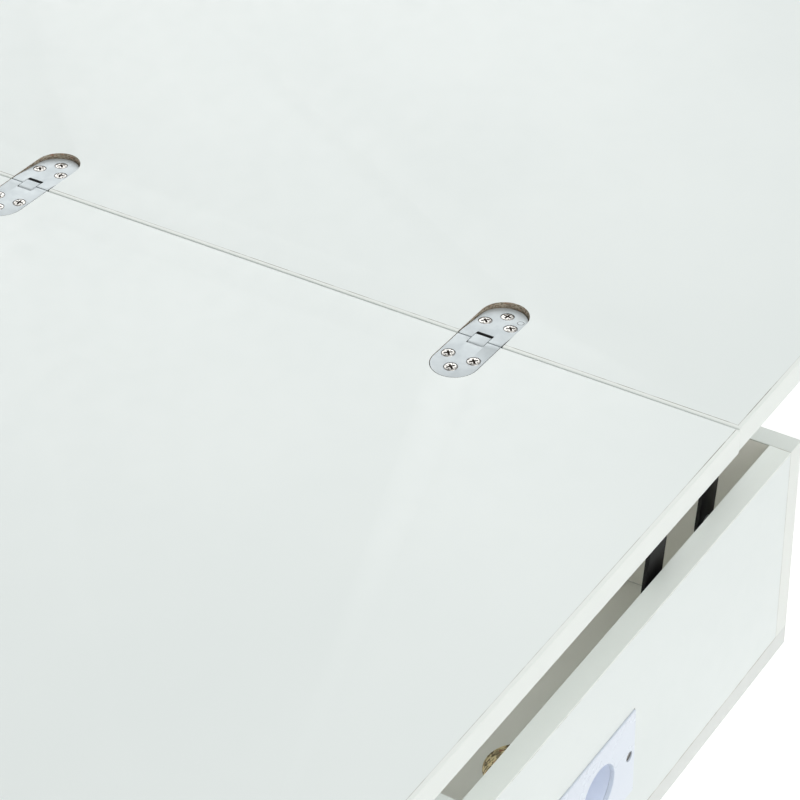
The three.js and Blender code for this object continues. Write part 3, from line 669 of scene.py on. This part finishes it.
def hinge_plate_mesh(tilt, slot_width, stamped):
    """One plate with x = 0 at the seam, growing towards +X. Two knuckles, rolled round the pin, close the gap
    to the seam on each side of the link. Its cut walls, underside and seats take its second material, a
    painted shade."""
    start = PIN_X + KNUCKLE + slot_width
    gap = LINK_HALF + 0.3 * MM
    end, half = PLATE_LENGTH, PLATE_HALF
    sharp = 0.15 * MM
    corners = [(end, -half, half), (end, half, half), (PIN_X, half, sharp), (PIN_X, gap, sharp),
               (start, gap, 0.6 * MM), (start, -gap, 0.6 * MM), (PIN_X, -gap, sharp), (PIN_X, -half, sharp)]
    top = -PLATE_DROP
    holes = [(x, y, screw_seat(top - PLATE_THICK, top)) for x, y in HINGE_SCREWS]
    mesh = to_mesh(slab(rounded(corners, 14), top - PLATE_THICK, top, 0.15 * MM, holes))
    mesh.materials.append(HINGE)
    if stamped:
        # the stamped ring's groove takes the painted shade
        groove = lathe([(STAMP_INNER, -STAMP_DEPTH), (STAMP_OUTER, -STAMP_DEPTH), (STAMP_OUTER, MM),
                        (STAMP_INNER, MM)])
        groove.transform(Matrix.Translation((*STAMP_PLACE, top)))
        groove = to_mesh(groove)
        groove.materials.append(HINGE_EDGE_SHADE)
        mesh = boolean(mesh, groove, "DIFFERENCE")
    mesh.transform(about_pin(tilt))
    for side in (-1, 1):
        knuckle = slab(knuckle_outline, 0, half - gap, 0.12 * MM)
        stand = Matrix(((1, 0, 0, 0), (0, 0, side, side * gap), (0, 1, 0, 0), (0, 0, 0, 1)))
        knuckle.transform(stand)
        bmesh.ops.recalc_face_normals(knuckle, faces=knuckle.faces[:])
        knuckle = to_mesh(knuckle)
        knuckle.materials.append(HINGE)
        mesh = boolean(mesh, knuckle, "UNION")
    # faces that do not face up, apart from the rolled knuckles, take the painted shade
    for face in mesh.polygons:
        rolled = face.center.x < PIN_X + 1.2 * MM and abs(face.normal.y) < 0.5
        if face.normal.z < 0.6 and not rolled:
            face.material_index = 1
    return mesh


def knuckle_outline(inset=0.0):
    """A knuckle's section in X and Z: flat towards the seam and round past the pin."""
    low, top = -KNUCKLE_UNDER, -PLATE_DROP
    return rounded([(KNUCKLE_REACH, low, 0.3 * MM), (PIN_X + 1.1 * MM, low, 1.2 * MM),
                    (PIN_X + 1.1 * MM, top, 0.9 * MM), (KNUCKLE_REACH, top, 0.3 * MM)])(inset)


def hinge_plate(node, tilt, slot_width, place):
    plate = hinge_plate_mesh(tilt, slot_width, node == "hinge_rear_plate_right")
    shades = [face.material_index for face in plate.polygons]
    made = replace(node, finished(plate, node, place), "hinge_chrome", HINGE, HINGE_EDGE_SHADE)
    made.data.polygons.foreach_set("material_index", shades)


def along_y(node):
    """Lays a piece drawn along Z down along Y, at the middle of its node."""
    return Matrix.Translation(middle(node)) @ Matrix.Rotation(math.pi / 2, 4, "X")


def hinge_pin(node):
    half, chamfer = PLATE_HALF - 0.2 * MM, 0.2 * MM
    pin = lathe([(0, -half), (PIN_RADIUS - chamfer, -half), (PIN_RADIUS, -half + chamfer),
                 (PIN_RADIUS, half - chamfer), (PIN_RADIUS - chamfer, half), (0, half)], 24)
    replace(node, finished(to_mesh(pin), node, along_y(node)), "zinc_steel", ZINC)


def hinge_link(node):
    reach = PIN_X + KNUCKLE
    link = rectangle(-reach, -KNUCKLE, reach, KNUCKLE, KNUCKLE, 10)
    mesh = to_mesh(slab(link, -LINK_HALF, LINK_HALF, 0.15 * MM))
    replace(node, finished(mesh, node, along_y(node)), "hinge_chrome", HINGE)


def hinge(where):
    """One flush hinge: a plate, a pin and three screws for each leaf, and the link between the pins."""
    centre = Matrix.Translation((0, middle(f"hinge_link_{where}").y, TOP_Z))
    flip = centre @ Matrix.Rotation(math.pi, 4, "Z")
    ends = (("rear", FAR_TILT, REAR_SLOT, centre), ("front", 0.0, FRONT_SLOT, flip))
    for end, tilt, slot_width, place in ends:
        node = f"hinge_{end}_plate_{where}"
        hinge_plate(node, tilt, slot_width, place)
        hinge_pin(f"hinge_{end}_pin_{where}")
        for number, (x, y) in enumerate(HINGE_SCREWS):
            seat = Matrix.Translation((x, y, -PLATE_DROP - SCREW_SINK))
            screw(f"hinge_{end}_screw_{where}_{number}", place @ about_pin(tilt) @ seat, body_of(node))
    hinge_link(f"hinge_link_{where}")


for where in PLACES:
    hinge(where)


# ---- Lift mechanism: w runs inwards from a side panel's inner face ----
ARM_HALF = 11 * MM
ARM_THICK = 3 * MM
PIVOT_RADIUS = 4 * MM
PIVOT_HEAD = 1.5 * MM  # thickness of a rivet's head
BORE = 4.12 * MM
FRONT_PLAY = 0.12 * MM
REAR_PLAY = 0.4 * MM  # at the pivot where the linkage's closed loop is opened
LOWER_COLLAR = 5.5 * MM
LOWER_HEAD = 5.6 * MM
UPPER_HEAD = 6.5 * MM
BRACKET_W = 9.5 * MM
BRACKET_THICK = 3 * MM
BRACKET_FOOT = 26 * MM
BRACKET_WEB = 12 * MM
STOP_RADIUS = 4 * MM
TUBE_INNER = 6.5 * MM
TUBE_OUTER = 8 * MM
ARM_STATIONS = (  # end, lower pivot, upper pivot, where the arm starts along w, play of the upper pivot
    ("front", ARM_LOW, ARM_HIGH, 5 * MM, FRONT_PLAY),
    ("rear", REAR_LOW, REAR_HIGH, 13 * MM, REAR_PLAY),
)


def flat_depth(node, side):
    """The distances inwards at which a node starts and ends."""
    low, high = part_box(node)
    ends = [WALL_Y - side * y for y in (low.y, high.y)]
    return min(ends), max(ends)


def arm(node, side, low, high, w, upper_play):
    """A flat arm with round ends and a bore at each of its pivots."""
    along = Vector((high.x - low.x, high.z - low.z))
    length = along.length
    outline = rectangle(-ARM_HALF, -ARM_HALF, ARM_HALF, length + ARM_HALF, ARM_HALF, 16)
    holes = [(0, 0, [(0, BORE), (ARM_THICK, BORE)]),
             (0, length, [(0, PIVOT_RADIUS + upper_play), (ARM_THICK, PIVOT_RADIUS + upper_play)])]
    mesh = to_mesh(slab(outline, 0, ARM_THICK, 0.5 * MM, holes))
    lean = Matrix.Rotation(-math.atan2(along.x, along.y), 4, "Z")
    replace(node, finished(mesh, node, inwards(side, low.x, w, low.z) @ lean), "black_steel", BLACK)


def rivet(node, side, profile):
    """A turned pivot with its profile along w, starting at the node's outer end."""
    start, _ = flat_depth(node, side)
    at = middle(node)
    mesh = softened(to_mesh(lathe(profile, 48)), 0.25 * MM, 3)
    replace(node, finished(mesh, node, inwards(side, at.x, start, at.z)), "zinc_steel", ZINC)


def pivot_profile(length, collar=0.0, outer_head=0.0, inner_head=0.0):
    """A shouldered rivet along its own axis from 0 to length, with a collar or a head at its outer end."""
    shank, head = PIVOT_RADIUS, PIVOT_HEAD
    profile = [(0, 0)]
    shank_start = 0.0
    if outer_head:
        profile += [(outer_head * 0.8, 0), (outer_head, head * 0.7), (outer_head, head)]
        shank_start = head
    elif collar:
        profile += [(LOWER_COLLAR, 0), (LOWER_COLLAR, collar)]
        shank_start = collar
    profile += [(shank, shank_start), (shank, length - head), (inner_head, length - head)]
    profile += [(inner_head, length - 0.8 * head), (inner_head * 0.8, length), (0, length)]
    return profile


def corner_screws(name, side, corners, body):
    """Countersunk screws whose heads face inwards, each at (x, w, z)."""
    for number, (x, w, z) in enumerate(corners):
        screw(f"{name}_{number}", inwards(side, x, w, z), body)


def mount_plate(node, side):
    """A plate that carries the lower pivots, screwed to a side panel at its corners."""
    low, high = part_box(node)
    x, z = (low.x + high.x) / 2, (low.z + high.z) / 2
    half_x, half_z = (high.x - low.x) / 2, (high.z - low.z) / 2
    thick = high.y - low.y
    inset = 9 * MM
    spots = [(sx * (half_x - inset), sz * (half_z - inset)) for sx in (-1, 1) for sz in (-1, 1)]
    outline = rectangle(-half_x, -half_z, half_x, half_z, 8 * MM, 8)
    mesh = to_mesh(slab(outline, 0, thick, 0.4 * MM, [(sx, sz, screw_seat(0, thick)) for sx, sz in spots]))
    replace(node, finished(mesh, node, inwards(side, x, 0, z)), "black_steel", BLACK)
    corner_screws(f"{node}_screw", side, [(x + sx, thick - SCREW_SINK, z + sz) for sx, sz in spots], "root")


def bracket(node, side):
    """The web hangs its two ears over the upper pivots, and the foot lies under the rear leaf."""
    low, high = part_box(node)
    front, rear = ARM_HIGH.x, REAR_HIGH.x
    x, z = (front + rear) / 2, ARM_HIGH.z
    half = (rear - front) / 2
    ear = (high.x - low.x) / 2 - half
    top = high.z - z
    web = top - BRACKET_WEB
    outline = rounded([(-half - ear, -ear, ear), (-half + ear, -ear, ear), (-half + ear, web, 3 * MM),
                       (half - ear, web, 3 * MM), (half - ear, -ear, ear), (half + ear, -ear, ear),
                       (half + ear, top, 1 * MM), (-half - ear, top, 1 * MM)], 10)
    bore = [(0, BORE), (BRACKET_THICK, BORE)]
    plate = to_mesh(slab(outline, 0, BRACKET_THICK, 0.35 * MM, [(-half, 0, bore), (half, 0, bore)]))
    foot = slab(rectangle(-half - ear, 0.6 * MM, half + ear, BRACKET_FOOT, 4 * MM), top - BRACKET_THICK, top,
                0.35 * MM)
    foot.transform(Matrix(((1, 0, 0, 0), (0, 0, 1, 0), (0, 1, 0, 0), (0, 0, 0, 1))))
    bmesh.ops.recalc_face_normals(foot, faces=foot.faces[:])
    mesh = boolean(plate, to_mesh(foot), "UNION")
    replace(node, finished(mesh, node, inwards(side, x, BRACKET_W, z)), "black_steel", BLACK)
    for number, (sx, sw) in enumerate(((-1, 0.35), (-1, 0.8), (1, 0.35), (1, 0.8))):
        at = Vector((x + sx * (half + 2 * MM), side * (WALL_Y - BRACKET_W - sw * BRACKET_FOOT),
                     high.z - BRACKET_THICK))
        screw(f"{node}_screw_{number}", Matrix.Translation(at) @ Matrix.Rotation(math.pi, 4, "X"),
              body_of(node))


def arm_stop(node, side):
    """The post that the front arm leans on, with a socket in its end."""
    start, stop = flat_depth(node, side)
    length = stop - start
    rivet(node, side, [(0, 0), (STOP_RADIUS, 0), (STOP_RADIUS, length), (2.2 * MM, length),
                       (1.8 * MM, length - 1 * MM), (0, length - 1 * MM)])


def lift(where, side):
    """The mechanism at one end of the table."""
    mount_plate(f"mount_plate_{where}", side)
    bracket(f"top_bracket_{where}", side)
    for end, low, high, w, upper_play in ARM_STATIONS:
        arm(f"{end}_arm_{where}", side, low, high, w, upper_play)
        node = f"{end}_lower_pivot_{where}"
        start, stop = flat_depth(node, side)
        rivet(node, side, pivot_profile(stop - start, w - 0.2 * MM - start, inner_head=LOWER_HEAD))
        node = f"{end}_upper_pivot_{where}"
        start, stop = flat_depth(node, side)
        outer = UPPER_HEAD if end == "front" else 0.0
        rivet(node, side, pivot_profile(stop - start, outer_head=outer, inner_head=UPPER_HEAD))
    arm_stop(f"arm_stop_{where}", side)


def cross_tube(node="cross_tube"):
    """The tube that makes both ends move together."""
    low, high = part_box(node)
    half = (high.y - low.y) / 2
    wall = [(TUBE_INNER, -half), (TUBE_OUTER, -half), (TUBE_OUTER, half), (TUBE_INNER, half)]
    tube = softened(to_mesh(lathe(wall, 64)), 0.3 * MM)
    replace(node, finished(tube, node, along_y(node)), "black_steel", BLACK)


for where, side in SIDES:
    lift(where, side)
cross_tube()


# ---- Glides and bumpers ----
def round_size(node):
    """The radius and height of an upright round node, and the place of the middle of its foot."""
    low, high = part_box(node)
    place = Matrix.Translation(((low.x + high.x) / 2, (low.y + high.y) / 2, low.z))
    return (high.x - low.x) / 2, high.z - low.z, place


def glide(node):
    radius, height, place = round_size(node)
    profile = [(0, 0), (radius - 1 * MM, 0), (radius - 0.3 * MM, 0.35 * MM), (radius, 1 * MM),
               (radius, height), (0, height)]
    replace(node, finished(to_mesh(lathe(profile)), "glide", place), "glide", GLIDE)


def bumper(node):
    radius, height, place = round_size(node)
    dome = [(radius * math.cos(a) ** 0.6, height * (0.25 + 0.75 * math.sin(a)))
            for a in (math.pi / 2 * k / 8 for k in range(8))]
    mesh = to_mesh(lathe([(0, 0), (radius, 0), *dome, (0, height)], 36))
    replace(node, finished(mesh, node, place), "bumper", BUMPER)


for end in ("front", "back"):
    for where, _ in SIDES:
        glide(f"glide_{end}_{where}")
        bumper(f"rim_bumper_{end}_{where}")


# ---- Socket panel: w runs from the back of the face plate into the body ----
FACE_THICK = 3 * MM
RECESS_X = middle("socket_cup").x
SOCKET = middle("socket_face_plate")
BACK_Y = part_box("socket_face_plate")[1].y  # the back of the face plate, let into the wall
RECESS_RADIUS = 20 * MM
CUP_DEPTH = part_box("socket_cup")[1].y - BACK_Y
CUP_WALL = 1.8 * MM
CUP_MOUTH = 0.2 * MM
CUP_SMOOTH_SEGMENTS = 72
CONTACT_X = 9.5 * MM
CONTACT_RADIUS = 2.6 * MM
SHUTTER_HALF = (5.5 * MM, 3 * MM)
USB_X = middle("usb_module").x
USB_RISE = 9 * MM
PORT_HALF = (6.8 * MM, 3.2 * MM)
TONGUE_HALF = (5 * MM, 0.9 * MM)
FACE_HEAD_RADIUS = 3.3 * MM
FACE_HEAD_HEIGHT = 1.2 * MM
FACE_SHANK_RADIUS = 1.6 * MM
SLOT_HALF = (4 * MM, 0.6 * MM)


def from_outside(x, w, z):
    """Places a piece drawn in local X and Y: X stays, Y goes up, and Z runs inwards from the plate's back."""
    return Matrix(((1, 0, 0, x), (0, 0, 1, BACK_Y + w), (0, 1, 0, z), (0, 0, 0, 1)))


def box_mesh(half, z0, z1, radius=0.3 * MM, edge=0.2 * MM, x=0.0, y=0.0):
    """A small block with eased edges, half being its half sizes in X and Y."""
    outline = rectangle(x - half[0], y - half[1], x + half[0], y + half[1], radius, 3)
    return to_mesh(slab(outline, z0, z1, edge))


def face_plate():
    """The socket's face, with its recess, two sunk screw seats and two ports."""
    low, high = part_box("socket_face_plate")
    half_x, half_z = (high.x - low.x) / 2, (high.z - low.z) / 2
    rim = [(-FACE_THICK, RECESS_RADIUS + 0.5 * MM), (-FACE_THICK + 0.15 * MM, RECESS_RADIUS + 0.15 * MM),
           (-FACE_THICK + 0.5 * MM, RECESS_RADIUS), (0, RECESS_RADIUS)]
    seat = [(-FACE_THICK, 3.9 * MM), (-FACE_THICK + 0.2 * MM, 3.7 * MM), (-1.6 * MM, 3.7 * MM),
            (-1.55 * MM, 1.9 * MM), (0, 1.9 * MM)]
    screws = middle("face_screw_back").x - SOCKET.x
    holes = [(RECESS_X - SOCKET.x, 0, rim), (-screws, 0, seat), (screws, 0, seat)]
    outline = rectangle(-half_x, -half_z, half_x, half_z, 1.2 * MM, 5)
    mesh = to_mesh(slab(outline, -FACE_THICK, 0, 0.6 * MM, holes, segments=CUP_SMOOTH_SEGMENTS, steps=4))
    for rise in (-USB_RISE, USB_RISE):
        port = box_mesh(PORT_HALF, -5 * MM, 2 * MM, 0.5 * MM, 0.01 * MM, USB_X - SOCKET.x, rise)
        mesh = boolean(mesh, port, "DIFFERENCE")
    place = from_outside(SOCKET.x, 0, SOCKET.z)
    mesh = finished(mesh, "socket_face_plate", place, smooth_angle=12)  # keeps the face itself flat
    replace("socket_face_plate", mesh, "socket_plate", PLATE)


def cup():
    """The recess: a moulded cup with a small step near its mouth, contact holes and a raised shutter."""
    inner = RECESS_RADIUS - 0.2 * MM
    outer = inner + CUP_WALL
    floor = CUP_DEPTH - 4 * MM
    inside = [(0, floor), (inner - 1.4 * MM, floor), (inner - 0.5 * MM, floor - 0.5 * MM),
              (inner, floor - 1.6 * MM), (inner, 3 * MM), (inner, CUP_MOUTH)]
    outside = [(outer, CUP_MOUTH), (outer, CUP_DEPTH), (0, CUP_DEPTH)]
    shell = to_mesh(lathe(inside + outside, CUP_SMOOTH_SEGMENTS))
    above, below = floor - 3 * MM, CUP_DEPTH + 2 * MM
    for x in (-CONTACT_X, CONTACT_X):
        bore = lathe([(0, above), (CONTACT_RADIUS, above), (CONTACT_RADIUS, below), (0, below)], 32)
        bore.transform(Matrix.Translation((x, 0, 0)))
        shell = boolean(shell, to_mesh(bore), "DIFFERENCE")
    shutter = box_mesh(SHUTTER_HALF, floor - 0.8 * MM, floor + 0.5 * MM, 1.5 * MM, 0.3 * MM)
    mesh = softened(boolean(shell, shutter, "UNION"), 0.2 * MM, 2, 50)
    place = from_outside(RECESS_X, 0, SOCKET.z)
    replace("socket_cup", finished(mesh, "socket_cup", place), "socket_cup", SOCKET_CUP_LIGHTENED)


def softened_node(node, width, slot, *finishes):
    """The CAD solid itself with eased edges."""
    replace(node, finished(softened(to_mesh(clean_solid(node)), width), node), slot, *finishes)


def face_screw(node):
    """A slotted screw that sits just under the plate's surface."""
    low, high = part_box(node)
    at, length = middle(node), high.y - low.y
    radius, under = FACE_HEAD_RADIUS, FACE_HEAD_HEIGHT
    dome = [(0, 0), (radius * 0.6, 0.12 * MM), (radius * 0.93, 0.4 * MM), (radius, 0.7 * MM), (radius, under)]
    shank = [(FACE_SHANK_RADIUS, under), (FACE_SHANK_RADIUS, length - 2 * MM), (0, length)]
    head = to_mesh(lathe(dome + shank, 40))
    # the head's dark steel is painted shade
    head.materials.append(FACE_SCREW_SHADED)
    groove = box_mesh(SLOT_HALF, -1 * MM, 0.85 * MM, 0.1 * MM, 0.02 * MM)
    # the slot takes the painted shade
    groove.materials.append(RECESS_SHADE)
    mesh = boolean(head, groove, "DIFFERENCE")
    tilt = Matrix.Rotation(turns.uniform(0.3, 1.2), 4, "Z")
    place = from_outside(at.x, low.y - BACK_Y, at.z) @ tilt
    replace(node, finished(mesh, node, place), "zinc_steel")


def usb_tongue(name, rise):
    """The tongue inside one port, a little above the port's middle."""
    tongue = box_mesh(TONGUE_HALF, 2 * MM, 10.8 * MM)
    place = from_outside(USB_X, 0, SOCKET.z + rise) @ Matrix.Translation((0, 1.2 * MM, 0))
    piece(name, finished(tongue, name, place), "root", "dark_plastic", DARK)


face_plate()
cup()
for end in ("front", "back"):
    face_screw(f"face_screw_{end}")
for end in ("upper", "lower"):
    softened_node(f"earth_clip_{end}", 0.2 * MM, "contact_metal", CONTACT)
softened_node("usb_module", 0.3 * MM, "dark_plastic", DARK)
softened_node("socket_housing", 0.5 * MM, "dark_plastic", DARK)
for number, rise in enumerate((-USB_RISE, USB_RISE)):
    usb_tongue(f"usb_tongue_{number}", rise)


# ---- Floor, light and camera ----
FLOOR_HALF = 6.0
LIGHTS = (  # name, place, aim, size in metres, watts
    ("key", (-0.2, -1.8, 3.1), (0, -0.3, 0.5), 2.6, 36),
    ("back_card", (3.0, 2.2, 2.6), (0.3, 0.2, TOP_Z), 3.0, 48),
)
SKY_WHITE = (1.0, 1.0, 0.985, 1)
SKY_FADE = (("From Min", 0.0), ("From Max", 0.7), ("To Min", 0.88), ("To Max", 0.50))  # by height


def floor():
    bm = bmesh.new()
    bmesh.ops.create_grid(bm, x_segments=8, y_segments=8, size=FLOOR_HALF)
    made = bpy.data.objects.new("studio_floor", to_mesh(bm, "studio_floor"))
    bpy.context.scene.collection.objects.link(made)
    paper = Finish("studio_paper", (0.97, 0.97, 0.97), Roughness=0.9)
    paper.colour(paper.mix(paper.noise(0.8), (0.965, 0.965, 0.965), (0.975, 0.975, 0.975)))
    paper.set("Emission Color", (1, 1, 1, 1))
    paper.set("Emission Strength", 0.24)
    made.data.materials.append(paper.material)


def soft_light(name, location, aim, size, power):
    data = bpy.data.lights.new(name, "AREA")
    data.shape = "SQUARE"
    data.size = size
    data.energy = power
    lamp = bpy.data.objects.new(name, data)
    bpy.context.scene.collection.objects.link(lamp)
    lamp.location = location
    lamp.rotation_euler = (Vector(aim) - Vector(location)).to_track_quat("-Z", "Y").to_euler()


def studio():
    """A white sky that dims upwards, and the two soft lights."""
    world = bpy.data.worlds.new("studio")
    bpy.context.scene.world = world
    world.use_nodes = True
    tree = world.node_tree
    sky = tree.nodes["Background"]
    sky.inputs["Color"].default_value = SKY_WHITE
    height = tree.nodes.new("ShaderNodeSeparateXYZ")
    tree.links.new(tree.nodes.new("ShaderNodeTexCoord").outputs["Generated"], height.inputs[0])
    fade = tree.nodes.new("ShaderNodeMapRange")
    tree.links.new(height.outputs["Z"], fade.inputs["Value"])
    for socket, value in SKY_FADE:
        fade.inputs[socket].default_value = value
    tree.links.new(fade.outputs["Result"], sky.inputs["Strength"])
    for light in LIGHTS:
        soft_light(*light)
    bpy.context.scene.view_settings.view_transform = "Standard"


CAMERA_AIM = Vector((-0.0732, -0.3263, 0.0))  # on the top's surface
CAMERA_DISTANCE = 1.4376
CAMERA_AZIMUTH = math.radians(-56.19)
CAMERA_ELEVATION = math.radians(36.05)
CAMERA_ROLL = math.radians(-1.551)
CAMERA_LENS = 116.3


def camera():
    data = bpy.data.cameras.new("camera")
    data.lens = CAMERA_LENS
    data.sensor_width = 36
    made = bpy.data.objects.new("camera", data)
    bpy.context.scene.collection.objects.link(made)
    level = math.cos(CAMERA_ELEVATION)
    back = Vector((math.sin(CAMERA_AZIMUTH) * level, -math.cos(CAMERA_AZIMUTH) * level,
                   math.sin(CAMERA_ELEVATION)))
    aim = CAMERA_AIM + Vector((0, 0, TOP_Z))
    turn = (-back).to_track_quat("-Z", "Y").to_matrix().to_4x4()
    place = Matrix.Translation(aim + back * CAMERA_DISTANCE)
    made.matrix_world = place @ turn @ Matrix.Rotation(CAMERA_ROLL, 4, "Z")
    bpy.context.scene.camera = made


floor()
studio()
camera()
